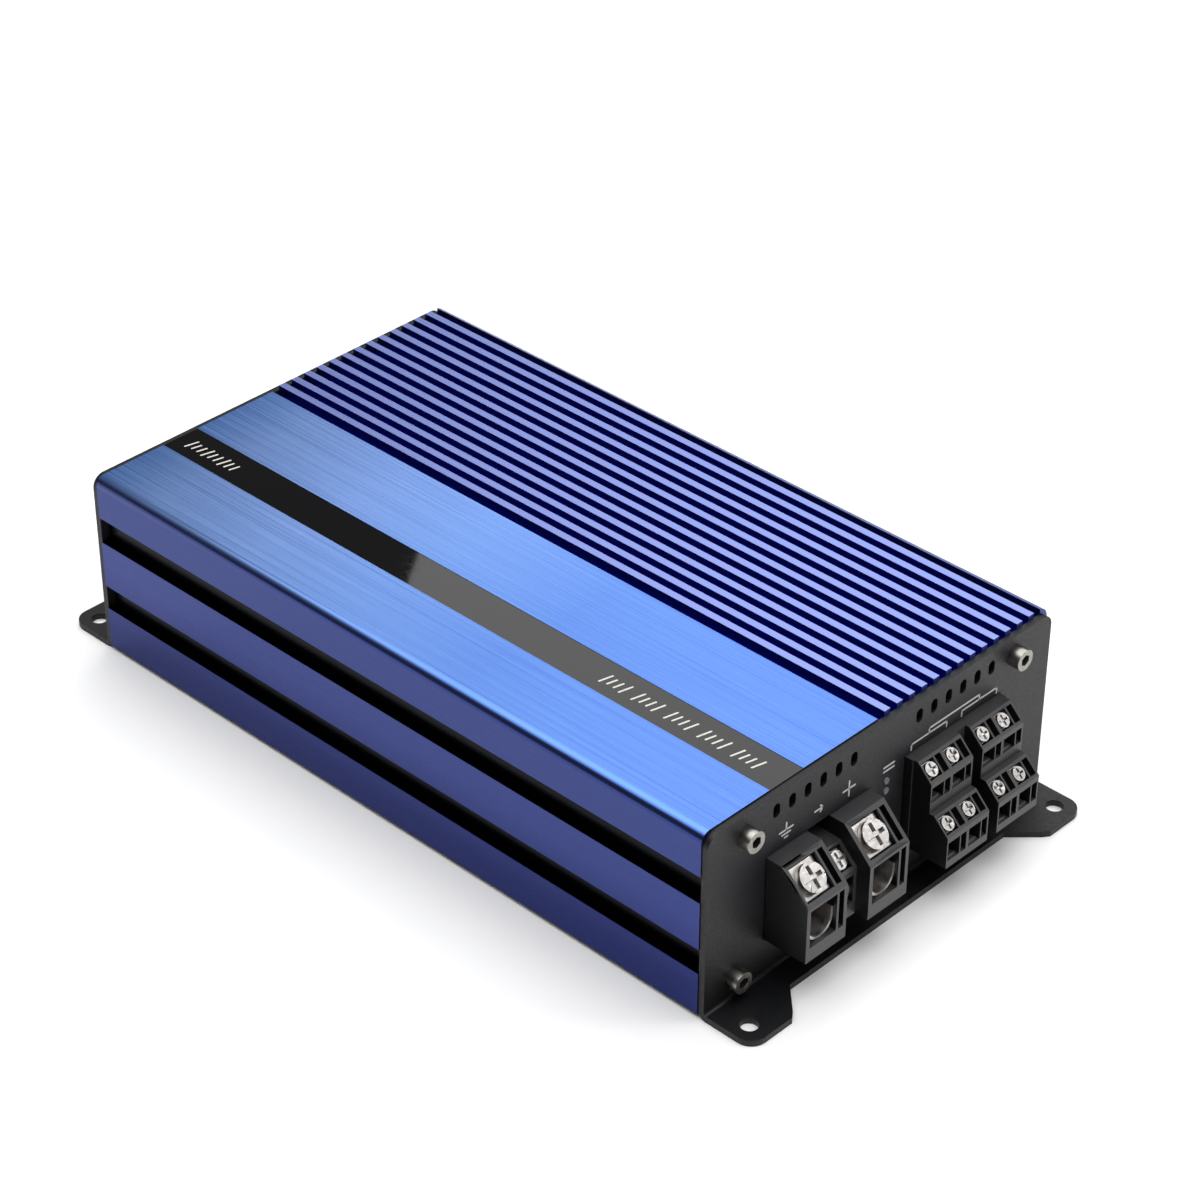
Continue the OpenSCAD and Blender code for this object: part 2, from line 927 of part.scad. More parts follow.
module power_transistors() {
    color("#232326")
        for (x = transistor_x, side = [-1, 1])
            translate([x, 0, 0])
                transistor(side);
}

module insulating_pads() {
    color("#9aa3ad")
        for (side = [0, 1])
            mirror([0, side, 0])
                difference() {
                    block([-bar_half_l, inner_y - pad_t, transistor_body_z - 1],
                          [bar_half_l, inner_y, transistor_body_z + 16.5]);
                    for (x = clamp_screw_x)
                        translate([x, inner_y + 1, bar_z])
                            rotate([90, 0, 0])
                                cylinder(h = 3, r = clamp_screw_r + 0.2);
                }
}

// Steel bars that press the power devices against the side walls
module clamp_bars() {
    front = inner_y - pad_t - device_t;
    color("#a5a8ab")
        for (side = [0, 1])
            mirror([0, side, 0])
                difference() {
                    block([-bar_half_l, front - bar_t, bar_z - 3.5], [bar_half_l, front, bar_z + 3.5]);
                    for (x = clamp_screw_x)
                        translate([x, front + 1, bar_z])
                            rotate([90, 0, 0])
                                cylinder(h = bar_t + 2, r = clamp_screw_r + 0.2);
                }
}

module clamp_bar_screws() {
    head_y = inner_y - pad_t - device_t - bar_t;
    color("#8d9093")
        for (side = [0, 1], x = clamp_screw_x)
            mirror([0, side, 0])
                translate([x, head_y, bar_z])
                    rotate([-90, 0, 0])
                        difference() {
                            union() {
                                translate([0, 0, -2])
                                    cylinder(h = 2, r = 2.8);
                                translate([0, 0, -eps])
                                    cylinder(h = inner_y - head_y + 3, r = clamp_screw_r);
                            }
                            for (a = [0, 90])
                                translate([0, 0, -2])
                                    rotate([0, 0, a])
                                        cube([3.4, 0.7, 1.6], center = true);
                        }
}

// ---- signal input end ----

module jack_housing() {
    color("#1c1c1e")
        to_input_end()
            difference() {
                block([half_l - 17, 33, board_top_z], [half_l - 0.2, 61, 47]);
                for (y = jack_y, z = jack_z)
                    rod_x(half_l - 12, half_l + 1, y, z, jack_r + gap);
            }
}

module jack_shells() {
    color("#c8a24a")
        to_input_end()
            for (y = jack_y, z = jack_z)
                difference() {
                    rod_x(half_l - 12, plate_x + jack_out, y, z, jack_r);
                    rod_x(half_l - 13, plate_x + jack_out + 1, y, z, jack_r - 0.6);
                }
}

module jack_inserts() {
    color("#e8e6e0")
        to_input_end()
            for (y = jack_y, z = jack_z)
                difference() {
                    rod_x(half_l - 12, plate_x + jack_out - 0.8, y, z, jack_r - 0.6 - gap);
                    rod_x(half_l - 6, plate_x + jack_out + 1, y, z, 1.65);
                }
}

module pot_bodies() {
    color("#6f7377")
        to_input_end()
            for (y = knob_y)
                difference() {
                    block([half_l - 12, y - 5, board_top_z], [half_l - 0.5, y + 5, knob_z + 5.5]);
                    rod_x(half_l - 7, half_l, y, knob_z, shaft_r + gap);
                }
}

// Ribbed knob on its shaft, with a pointer groove that points up at rest
module level_knob(y) {
    rib_count = 18;
    color("#18181a")
        to_input_end()
            translate([0, y, knob_z])
                rotate([0, 90, 0])
                    difference() {
                        union() {
                            translate([0, 0, half_l - 6])
                                cylinder(h = plate_t + 8, r = shaft_r);
                            translate([0, 0, plate_x + 1])
                                cylinder(h = knob_h, r = knob_r);
                        }
                        for (i = [0:rib_count - 1])
                            rotate([0, 0, i * 360 / rib_count])
                                translate([knob_r, 0, plate_x + 2.5])
                                    cylinder(h = knob_h, r = 0.3);
                        translate([-knob_r - 1, -0.4, plate_x + knob_h + 0.5])
                            cube([knob_r, 0.8, 1]);
                    }
}

module front_level_knob() {
    level_knob(knob_y[0]);
}

module rear_level_knob() {
    level_knob(knob_y[1]);
}

module low_pass_knob() {
    level_knob(knob_y[2]);
}

module high_pass_knob() {
    level_knob(knob_y[3]);
}

module switch_bodies() {
    color("#7d8185")
        to_input_end()
            for (y = switch_y)
                difference() {
                    block([half_l - 8, y - 6, board_top_z], [half_l - 0.4, y + 6, switch_z + 3.4]);
                    block([half_l - 4, y - 3.8, switch_z - 1.4], [half_l, y + 3.8, switch_z + 1.4]);
                }
}

// Sliding lever with a foot that runs in the switch body
module filter_lever(y) {
    color("#111113")
        to_input_end()
            translate([0, y, switch_z]) {
                block([half_l - 3.9, -1.75, -1.3], [half_l - 0.6, 1.75, 1.3]);
                block([half_l - 0.7, -lever_w / 2, -lever_h / 2],
                      [plate_x + 2.6, lever_w / 2, lever_h / 2]);
            }
}

module front_filter_lever() {
    filter_lever(switch_y[0]);
}

module rear_filter_lever() {
    filter_lever(switch_y[1]);
}

// Light pipes that bring two small lamps on the board to the terminal plate
module status_lights() {
    foot_x = half_l - 7;
    color("#7fd08a")
        for (i = [0, 1]) {
            rod_x(foot_x - 2.6 * i - 1, plate_x + 0.4, light_y, light_z[i], light_r);
            translate([foot_x - 2.6 * i, light_y, board_top_z])
                cylinder(h = light_z[i] - board_top_z, r = light_r);
        }
}

// ---- output ----

heatsink_housing();
top_strip();
bottom_cover();
bottom_cover_screws();
terminal_end_plate();
terminal_plate_screws();
input_end_plate();
input_plate_screws();
power_terminal_block();
power_contacts();
ground_clamp();
ground_screw();
remote_clamp();
remote_screw();
battery_clamp();
battery_screw();
speaker_terminal_block();
speaker_contacts();
for (n = [1:8])
    speaker_clamp(n);
for (n = [1:8])
    speaker_clamp_screw(n);
main_board();
board_standoffs();
board_screws();
transformer_core();
transformer_winding();
input_capacitors();
rail_capacitors();
output_inductors();
control_chips();
power_transistors();
insulating_pads();
clamp_bars();
clamp_bar_screws();
jack_housing();
jack_shells();
jack_inserts();
pot_bodies();
front_level_knob();
rear_level_knob();
low_pass_knob();
high_pass_knob();
switch_bodies();
front_filter_lever();
rear_filter_lever();
status_lights();
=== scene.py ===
import math

import bmesh
import bpy
from mathutils import Matrix, Vector


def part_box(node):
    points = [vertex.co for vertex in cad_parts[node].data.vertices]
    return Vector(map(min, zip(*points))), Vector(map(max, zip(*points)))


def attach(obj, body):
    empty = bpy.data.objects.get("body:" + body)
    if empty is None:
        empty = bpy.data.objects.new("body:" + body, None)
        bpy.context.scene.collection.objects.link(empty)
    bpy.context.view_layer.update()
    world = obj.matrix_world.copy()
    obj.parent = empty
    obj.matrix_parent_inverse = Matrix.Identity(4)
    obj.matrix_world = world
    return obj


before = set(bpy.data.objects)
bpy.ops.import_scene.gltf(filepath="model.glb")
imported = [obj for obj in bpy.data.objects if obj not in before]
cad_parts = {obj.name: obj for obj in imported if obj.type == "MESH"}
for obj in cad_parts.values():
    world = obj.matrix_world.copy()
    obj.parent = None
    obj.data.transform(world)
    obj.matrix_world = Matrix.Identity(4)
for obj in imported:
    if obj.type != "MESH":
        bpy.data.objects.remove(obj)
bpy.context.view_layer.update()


# ---- Finned casing -------------------------------------------------------------------------------
# One aluminium extrusion, about 0.8 kg. It is sawn to length, its flat top is linished along its
# length, and the whole is dyed blue in the anodising bath. The deep grooves are painted almost
# black as shade.

MM = 0.001
half_length = 119 * MM
half_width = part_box("heatsink_housing")[1].y
housing_top_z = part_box("heatsink_housing")[1].z
flat_top_z = housing_top_z - 1.0 * MM
gap_floor_z = housing_top_z - 4.5 * MM
first_fin_edge_y = -1.99 * MM
edge_fin_width = 4.1 * MM
side_grooves_top_z = 50 * MM


def hex_colour(code):
    """A display colour such as '#3355aa' as the linear RGBA that Blender works in."""
    channels = [int(code[i:i + 2], 16) / 255 for i in (1, 3, 5)]
    linear = [c / 12.92 if c <= 0.04045 else ((c + 0.055) / 1.055) ** 2.4 for c in channels]
    return (*linear, 1.0)


def every(size):
    """Cycles per metre of a pattern that repeats every so many millimetres."""
    return 1 / (size * MM)


def add(tree, kind, settings=None, stops=(), **links):
    """Adds a node. Settings are its properties, stops a ramp's (position, display colour) pairs, and
    links its sockets, by name or as i and a number, each given a value or another node's output."""
    made = tree.nodes.new(kind)
    for key, value in (settings or {}).items():
        setattr(made, key, value)
    for position, code in stops[1:-1]:
        made.color_ramp.elements.new(position)
    for element, (position, code) in zip(made.color_ramp.elements if stops else (), stops):
        element.position, element.color = position, hex_colour(code)
    for key, value in links.items():
        numbered = key[0] == "i" and key[1:].isdigit()
        socket = made.inputs[int(key[1:]) if numbered else key]
        if isinstance(value, bpy.types.NodeSocket):
            tree.links.new(value, socket)
        else:
            socket.default_value = value
    return made


def material(name, **shader):
    """A material with one Principled shader. Returns it, its node tree and the shader."""
    mat = bpy.data.materials.new(name)
    mat.use_nodes = True
    tree = mat.node_tree
    surface = tree.nodes["Principled BSDF"]
    for key, value in shader.items():
        surface.inputs[key.replace("_", " ")].default_value = value
    return mat, tree, surface


def cover(mat, *nodes):
    """Gives CAD nodes this material and nothing else."""
    for name in nodes:
        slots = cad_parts[name].data.materials
        slots.clear()
        slots.append(mat)


def break_edges(width, *nodes):
    """Rounds the sharp edges of CAD nodes as deburring or a mould does; width is in millimetres."""
    for name in nodes:
        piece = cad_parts[name]
        weld = piece.modifiers.new("weld", "WELD")
        weld.merge_threshold = 1e-6
        bevel = piece.modifiers.new("edges", "BEVEL")
        bevel.width = width * MM
        bevel.segments = 2
        bevel.limit_method = "ANGLE"
        bevel.angle_limit = math.radians(35)
        bevel.use_clamp_overlap = True
        bevel.harden_normals = False


def anodised_aluminium():
    """Dyed oxide over linished metal: fine streaks run along X. The tops are painted lighter as lit,
    with a painted reflection along X and painted highlights on the fin ends. The flanks of the fins,
    their gaps and the side grooves are painted navy to black as shade."""
    mat, tree, surface = material("anodised_brushed_aluminium", Metallic=0.92, Roughness=0.34,
                                  Anisotropic=0.55)
    along = add(tree, "ShaderNodeCombineXYZ", X=1.0, Y=0.0, Z=0.0).outputs[0]
    tree.links.new(along, surface.inputs["Tangent"])
    where = add(tree, "ShaderNodeTexCoord").outputs["Object"]
    place = add(tree, "ShaderNodeSeparateXYZ", Vector=where).outputs
    normal = add(tree, "ShaderNodeNewGeometry").outputs["Normal"]
    facing = add(tree, "ShaderNodeSeparateXYZ", Vector=normal).outputs

    # Linishing scratches: about 0.3 mm apart and 90 mm long, with a finer set between them
    drawn = add(tree, "ShaderNodeMapping", {"vector_type": "POINT"}, Vector=where,
                Scale=(every(90.9), every(0.303), every(0.303))).outputs[0]
    coarse = add(tree, "ShaderNodeTexNoise", Vector=drawn, Scale=1.0, Detail=3.0,
                 Roughness=0.5).outputs["Fac"]
    drawn = add(tree, "ShaderNodeMapping", {"vector_type": "POINT"}, Vector=where,
                Scale=(every(33.3), every(0.125), every(0.125))).outputs[0]
    fine = add(tree, "ShaderNodeTexNoise", Vector=drawn, Scale=1.0, Detail=2.0,
               Roughness=0.5).outputs["Fac"]
    streak = add(tree, "ShaderNodeMath", {"operation": "MULTIPLY_ADD"}, i0=fine, i1=0.4,
                 i2=coarse).outputs[0]

    # Side walls: violet-blue, painted darker than the top as shade, and deeper towards the bottom
    height = add(tree, "ShaderNodeMapRange", Value=place["Z"], i1=0.0, i2=flat_top_z, i3=0.0,
                 i4=1.0).outputs[0]
    painted_shade_side = add(tree, "ShaderNodeValToRGB", Fac=height, stops=(
        (0.15, "#1e2a6a"), (0.51, "#374383"), (0.83, "#38447f"))).outputs["Color"]

    # Flat top: painted reflection along X, palest a quarter in from -X, dimmer at both tips
    length = add(tree, "ShaderNodeMapRange", Value=place["X"], i1=-half_length, i2=half_length,
                 i3=0.0, i4=1.0).outputs[0]
    dull = add(tree, "ShaderNodeValToRGB", Fac=length, stops=(
        (0.0, "#4a70b4"), (0.09, "#6888c8"), (0.26, "#7296df"), (0.42, "#6890dc"),
        (0.62, "#4f77c8"), (1.0, "#4a71c3"))).outputs["Color"]
    bright = add(tree, "ShaderNodeValToRGB", Fac=length, stops=(
        (0.0, "#668cc8"), (0.09, "#84a4dd"), (0.26, "#8caeec"), (0.42, "#80a7ea"),
        (0.62, "#6a93de"), (1.0, "#668dd8"))).outputs["Color"]
    grain = add(tree, "ShaderNodeMapRange", Value=streak, i1=0.45, i2=0.95, i3=0.0,
                i4=1.0).outputs[0]
    flat_streaks_and_painted_reflection = add(tree, "ShaderNodeMix", {"data_type": "RGBA"}, i0=grain, i6=dull,
               i7=bright).outputs[2]

    # Fin tops are greyer than the flat top. The flanks and floor between the fins are painted a deep
    # blue as shade
    fin_side = add(tree, "ShaderNodeMath", {"operation": "GREATER_THAN"}, i0=place["Y"],
                   i1=first_fin_edge_y).outputs[0]
    top = add(tree, "ShaderNodeMix", {"data_type": "RGBA"}, i0=fin_side, i6=flat_streaks_and_painted_reflection,
              i7=hex_colour("#8290cf")).outputs[2]
    # Up-facing high faces get the top colour as painted light, the rest the side's painted shade
    faces_up = add(tree, "ShaderNodeMapRange", {"interpolation_type": "SMOOTHSTEP"},
                   Value=facing["Z"], i1=0.55, i2=0.98, i3=0.0, i4=1.0).outputs[0]
    high = add(tree, "ShaderNodeMath", {"operation": "GREATER_THAN"}, i0=place["Z"],
               i1=flat_top_z - 1.2 * MM).outputs[0]
    painted_lit_top_mask = add(tree, "ShaderNodeMath", {"operation": "MULTIPLY"}, i0=faces_up,
                  i1=high).outputs[0]
    above_floor = add(tree, "ShaderNodeMath", {"operation": "GREATER_THAN"}, i0=place["Z"],
                      i1=gap_floor_z - 0.3 * MM).outputs[0]
    inner = add(tree, "ShaderNodeMath", {"operation": "LESS_THAN"}, i0=place["Y"],
                i1=half_width - edge_fin_width).outputs[0]
    in_gap = add(tree, "ShaderNodeMath", {"operation": "MULTIPLY"}, i0=above_floor,
                 i1=fin_side).outputs[0]
    in_gap = add(tree, "ShaderNodeMath", {"operation": "MULTIPLY"}, i0=in_gap,
                 i1=inner).outputs[0]
    low = add(tree, "ShaderNodeMix", {"data_type": "RGBA"}, i0=in_gap, i6=painted_shade_side,
              i7=hex_colour("#2038b0")).outputs[2]
    whole = add(tree, "ShaderNodeMix", {"data_type": "RGBA"}, i0=painted_lit_top_mask, i6=low,
                i7=top).outputs[2]

    # Sawn ends of the fins, painted brighter than their flanks as a highlight
    across = add(tree, "ShaderNodeMath", {"operation": "ABSOLUTE"}, i0=facing["X"]).outputs[0]
    painted_lit_fin_ends = add(tree, "ShaderNodeMath", {"operation": "GREATER_THAN"}, i0=across,
               i1=0.8).outputs[0]
    painted_lit_fin_ends = add(tree, "ShaderNodeMath", {"operation": "MULTIPLY"}, i0=painted_lit_fin_ends, i1=in_gap).outputs[0]
    with_painted_fin_highlights = add(tree, "ShaderNodeMix", {"data_type": "RGBA"}, i0=painted_lit_fin_ends, i6=whole,
                i7=hex_colour("#5a6cd0")).outputs[2]

    # The two grooves of each side are painted black as shade: their floor lies under the side's face
    distance = add(tree, "ShaderNodeMath", {"operation": "ABSOLUTE"}, i0=place["Y"]).outputs[0]
    sunk = add(tree, "ShaderNodeMath", {"operation": "LESS_THAN"}, i0=distance,
               i1=half_width - 0.2 * MM).outputs[0]
    below = add(tree, "ShaderNodeMath", {"operation": "LESS_THAN"}, i0=place["Z"],
                i1=side_grooves_top_z).outputs[0]
    painted_groove_shade = add(tree, "ShaderNodeMath", {"operation": "MULTIPLY"}, i0=sunk, i1=below).outputs[0]
    dye_and_painted_light = add(tree, "ShaderNodeMix", {"data_type": "RGBA"}, i0=painted_groove_shade, i6=with_painted_fin_highlights,
               i7=hex_colour("#04050a")).outputs[2]
    tree.links.new(dye_and_painted_light, surface.inputs["Base Color"])
    rough = add(tree, "ShaderNodeMapRange", Value=streak, i1=0.4, i2=1.0, i3=0.24,
                i4=0.36).outputs[0]
    tree.links.new(rough, surface.inputs["Roughness"])
    bump = add(tree, "ShaderNodeBump", Strength=0.12, Distance=0.02 * MM,
               Height=streak).outputs[0]
    tree.links.new(bump, surface.inputs["Normal"])
    return mat


cover(anodised_aluminium(), "heatsink_housing")
break_edges(0.25, "heatsink_housing")


# ---- Inlaid strip --------------------------------------------------------------------------------
# A strip of black acrylic, pushed into a shallow channel in the flat top. It carries slanted silver
# bars, screen-printed: a short row of them near one end and a long one near the other.

strip_low, strip_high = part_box("top_strip")
strip_mid_y = (strip_low.y + strip_high.y) / 2
bar_pitch = 2.4
group_pitch = 11.8
bar_width = 0.6


def gloss_acrylic():
    """Cast acrylic: very smooth, with the faintest orange peel and some dust."""
    mat, tree, surface = material("cast_black_acrylic", Roughness=0.03, IOR=1.49)
    surface.inputs["Base Color"].default_value = hex_colour("#0b0b0d")
    where = add(tree, "ShaderNodeTexCoord").outputs["Object"]
    dust = add(tree, "ShaderNodeTexNoise", Vector=where, Scale=every(1.11),
               Detail=3.0).outputs["Fac"]
    rough = add(tree, "ShaderNodeMapRange", Value=dust, i1=0.35, i2=0.75, i3=0.015,
                i4=0.05).outputs[0]
    tree.links.new(rough, surface.inputs["Roughness"])
    return mat


def screen_ink(name, code, roughness=0.45):
    """Screen-printed ink: a thin film with 0.2 mm pinholes that lets a little of its ground show."""
    mat, tree, surface = material(name, Roughness=roughness, IOR=1.5)
    ink = hex_colour(code)
    where = add(tree, "ShaderNodeTexCoord").outputs["Object"]
    grain = add(tree, "ShaderNodeTexNoise", Vector=where, Scale=every(0.2),
                Detail=2.0).outputs["Fac"]
    film = add(tree, "ShaderNodeMapRange", Value=grain, i1=0.3, i2=0.5, i3=0.0,
               i4=1.0).outputs[0]
    shade = add(tree, "ShaderNodeMix", {"data_type": "RGBA"}, i0=film,
                i6=(*(c * 0.55 for c in ink[:3]), 1.0), i7=ink).outputs[2]
    tree.links.new(shade, surface.inputs["Base Color"])
    return mat


def strokes(name, lines, width, lay, thickness=0.04, body="casing"):
    """Printed or engraved marks: each line is a list of points in mm, drawn as round-ended ribbons.
    lay turns (across, up, out) in mm into a place on the object in metres."""
    mesh = bmesh.new()
    half = width / 2
    for line in lines:
        for (ax, ay), (bx, by) in zip(line, line[1:]):
            turn = math.atan2(by - ay, bx - ax)
            rim = []
            for centre_x, centre_y, start in ((bx, by, turn - math.pi / 2),
                                              (ax, ay, turn + math.pi / 2)):
                for step in range(7):
                    angle = start + math.pi * step / 6
                    rim.append((centre_x + half * math.cos(angle),
                                centre_y + half * math.sin(angle)))
            low = [mesh.verts.new(lay(x, y, 0.0)) for x, y in rim]
            high = [mesh.verts.new(lay(x, y, thickness)) for x, y in rim]
            mesh.faces.new(high)
            mesh.faces.new(low[::-1])
            for i in range(len(rim)):
                j = (i + 1) % len(rim)
                mesh.faces.new((low[i], low[j], high[j], high[i]))
    bmesh.ops.recalc_face_normals(mesh, faces=mesh.faces)
    data = bpy.data.meshes.new(name)
    mesh.to_mesh(data)
    mesh.free()
    piece = bpy.data.objects.new(name, data)
    bpy.context.scene.collection.objects.link(piece)
    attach(piece, body)
    return piece


def on_strip(x, y, out):
    return Vector((x * MM, strip_mid_y + y * MM, strip_high.z + out * MM))


cover(gloss_acrylic(), "top_strip")
slanted_bars = []
for start_x, groups, bars in ((-114.0, 1, 9), (55.0, 5, 4)):
    for group in range(groups):
        for bar in range(bars):
            left = start_x + group * group_pitch + bar * bar_pitch
            tall = 1.5 if bar % 3 else 2.1
            slanted_bars.append([(left, -tall - 0.4), (left + 0.5 * tall, tall - 0.4)])
strip_marks = strokes("strip_marks", slanted_bars, bar_width, on_strip)
strip_marks.data.materials.append(screen_ink("silver_screen_ink", "#d9d7cf", 0.35))


# ---- Bottom cover --------------------------------------------------------------------------------
# Flat sheet steel, powder-coated black, let in between the side walls and held by countersunk
# screws. The coating is the same as on the end plates, and the zinc as on all the small hardware.

def powder_coat(name):
    """Baked powder: low sheen, with an orange-peel skin whose cells are about 0.6 mm across. The cut
    edges and the flange are painted almost black as a dark reflection."""
    mat, tree, surface = material(name, Roughness=0.48, IOR=1.5)
    surface.inputs["Specular IOR Level"].default_value = 0.4
    where = add(tree, "ShaderNodeTexCoord").outputs["Object"]
    peel = add(tree, "ShaderNodeTexNoise", Vector=where, Scale=every(0.588), Detail=3.0,
               Roughness=0.55).outputs["Fac"]
    # Painted light and shade: darker low down and greyer towards the top, 60 mm up, with cloudy tone
    height = add(tree, "ShaderNodeSeparateXYZ", Vector=where).outputs["Z"]
    cloud = add(tree, "ShaderNodeTexNoise", Vector=where, Scale=every(16.67),
                Detail=4.0).outputs["Fac"]
    cloud_and_painted_height_shade = add(tree, "ShaderNodeMapRange", Value=height, i1=0.0, i2=60 * MM, i3=0.0,
               i4=0.8).outputs[0]
    cloud_and_painted_height_shade = add(tree, "ShaderNodeMath", {"operation": "MULTIPLY_ADD"}, i0=cloud, i1=0.3,
               i2=cloud_and_painted_height_shade).outputs[0]
    face = add(tree, "ShaderNodeMix", {"data_type": "RGBA"}, i0=cloud_and_painted_height_shade, i6=hex_colour("#07070a"),
               i7=hex_colour("#202024")).outputs[2]
    # Faces that don't face along X are painted almost black as a dark reflection
    normal = add(tree, "ShaderNodeNewGeometry").outputs["Normal"]
    across = add(tree, "ShaderNodeSeparateXYZ", Vector=normal).outputs["X"]
    across = add(tree, "ShaderNodeMath", {"operation": "ABSOLUTE"}, i0=across).outputs[0]
    painted_dark_edge = add(tree, "ShaderNodeMath", {"operation": "LESS_THAN"}, i0=across,
               i1=0.75).outputs[0]
    shade = add(tree, "ShaderNodeMix", {"data_type": "RGBA"}, i0=painted_dark_edge, i6=face,
                i7=hex_colour("#05060a")).outputs[2]
    tree.links.new(shade, surface.inputs["Base Color"])
    rough = add(tree, "ShaderNodeMapRange", Value=peel, i1=0.3, i2=0.7, i3=0.38,
                i4=0.58).outputs[0]
    tree.links.new(rough, surface.inputs["Roughness"])
    bump = add(tree, "ShaderNodeBump", Strength=0.22, Distance=0.06 * MM, Height=peel).outputs[0]
    tree.links.new(bump, surface.inputs["Normal"])
    return mat


def plated_steel(name, code, roughness):
    """Plated steel: bright, with a faint clouding from the bath, about 1.4 mm across, and tool marks
    of 0.17 mm."""
    mat, tree, surface = material(name, Metallic=1.0, Roughness=roughness)
    plate = hex_colour(code)
    where = add(tree, "ShaderNodeTexCoord").outputs["Object"]
    cloud = add(tree, "ShaderNodeTexNoise", Vector=where, Scale=every(1.43), Detail=5.0,
                Roughness=0.65).outputs["Fac"]
    shade = add(tree, "ShaderNodeMix", {"data_type": "RGBA"}, i0=cloud,
                i6=(*(c * 0.4 for c in plate[:3]), 1.0), i7=plate).outputs[2]
    tree.links.new(shade, surface.inputs["Base Color"])
    rough = add(tree, "ShaderNodeMapRange", Value=cloud, i1=0.3, i2=0.7, i3=roughness * 0.7,
                i4=roughness * 1.5).outputs[0]
    tree.links.new(rough, surface.inputs["Roughness"])
    marks = add(tree, "ShaderNodeTexNoise", Vector=where, Scale=every(0.1667),
                Detail=1.0).outputs["Fac"]
    bump = add(tree, "ShaderNodeBump", Strength=0.06, Distance=0.03 * MM, Height=marks).outputs[0]
    tree.links.new(bump, surface.inputs["Normal"])
    return mat


coated_steel = powder_coat("powder_coated_sheet_steel")
zinc_steel = plated_steel("zinc_plated_steel", "#b4b7bb", 0.3)
cover(coated_steel, "bottom_cover")
cover(zinc_steel, "bottom_cover_screws")


# ---- Circuit board -------------------------------------------------------------------------------
# Glass-fibre laminate with copper tracks under a green solder mask. It stands on brass spacers that
# are pressed into the bottom cover, and is held by small cross-slot screws.

track_length = 18 * MM
track_raster = 2.5 * MM
track_gap = 0.4 * MM


def solder_mask():
    """Green lacquer over copper: tracks show as lighter, slightly raised bands on a 2.5 mm raster."""
    mat, tree, surface = material("green_solder_mask", Roughness=0.3, IOR=1.52)
    where = add(tree, "ShaderNodeTexCoord").outputs["Object"]
    raster = add(tree, "ShaderNodeTexBrick", {"offset": 0.5, "squash": 1.0}, Vector=where,
                 Scale=1.0, i5=track_gap, i6=0.1, i7=0.0, i8=track_length,
                 i9=track_raster).outputs["Fac"]
    shade = add(tree, "ShaderNodeMix", {"data_type": "RGBA"}, i0=raster,
                i6=hex_colour("#1d6a3d"), i7=hex_colour("#123f26")).outputs[2]
    tree.links.new(shade, surface.inputs["Base Color"])
    bump = add(tree, "ShaderNodeBump", {"invert": True}, Strength=0.3, Distance=0.04 * MM,
               Height=raster).outputs[0]
    tree.links.new(bump, surface.inputs["Normal"])
    return mat


def turned_brass(name, code, roughness):
    """Brass off the lathe: warm, with fine rings left by the tool, 0.33 mm wide and 0.11 mm high."""
    mat, tree, surface = material(name, Metallic=1.0, Roughness=roughness)
    surface.inputs["Base Color"].default_value = hex_colour(code)
    where = add(tree, "ShaderNodeTexCoord").outputs["Object"]
    feed = add(tree, "ShaderNodeMapping", {"vector_type": "POINT"}, Vector=where,
               Scale=(every(0.333), every(0.333), every(0.111))).outputs[0]
    rings = add(tree, "ShaderNodeTexNoise", Vector=feed, Scale=1.0, Detail=2.0).outputs["Fac"]
    rough = add(tree, "ShaderNodeMapRange", Value=rings, i1=0.3, i2=0.7, i3=roughness * 0.8,
                i4=roughness * 1.4).outputs[0]
    tree.links.new(rough, surface.inputs["Roughness"])
    return mat


cover(solder_mask(), "main_board")
cover(turned_brass("turned_brass", "#c9a357", 0.28), "board_standoffs")
cover(zinc_steel, "board_screws")


# ---- Power supply and output stage ---------------------------------------------------------------
# A ferrite ring wound with thick enamelled wire steps the 12 V supply up. Sleeved aluminium cans
# smooth it, and drum-cored chokes filter the outputs.

def sintered_ferrite():
    """Pressed and sintered ceramic: dark grey, matt and slightly gritty, with 0.4 mm grit."""
    mat, tree, surface = material("sintered_ferrite", Roughness=0.62)
    where = add(tree, "ShaderNodeTexCoord").outputs["Object"]
    grit = add(tree, "ShaderNodeTexNoise", Vector=where, Scale=every(0.4),
               Detail=4.0).outputs["Fac"]
    shade = add(tree, "ShaderNodeMix", {"data_type": "RGBA"}, i0=grit, i6=hex_colour("#26292a"),
                i7=hex_colour("#43484a")).outputs[2]
    tree.links.new(shade, surface.inputs["Base Color"])
    return mat


def can_sleeve():
    """Shrunk plastic sleeve over an aluminium can whose bare top shows as a bright disc."""
    mat, tree, surface = material("shrink_sleeved_can", Roughness=0.32)
    normal = add(tree, "ShaderNodeNewGeometry").outputs["Normal"]
    upward = add(tree, "ShaderNodeSeparateXYZ", Vector=normal).outputs["Z"]
    bare = add(tree, "ShaderNodeMath", {"operation": "GREATER_THAN"}, i0=upward,
               i1=0.9).outputs[0]
    where = add(tree, "ShaderNodeTexCoord").outputs["Object"]
    cloud = add(tree, "ShaderNodeTexNoise", Vector=where, Scale=every(2.5),
                Detail=3.0).outputs["Fac"]
    sleeve = add(tree, "ShaderNodeMix", {"data_type": "RGBA"}, i0=cloud,
                 i6=hex_colour("#14162a"), i7=hex_colour("#1d2040")).outputs[2]
    shade = add(tree, "ShaderNodeMix", {"data_type": "RGBA"}, i0=bare, i6=sleeve,
                i7=hex_colour("#c5c8cc")).outputs[2]
    tree.links.new(shade, surface.inputs["Base Color"])
    tree.links.new(bare, surface.inputs["Metallic"])
    return mat


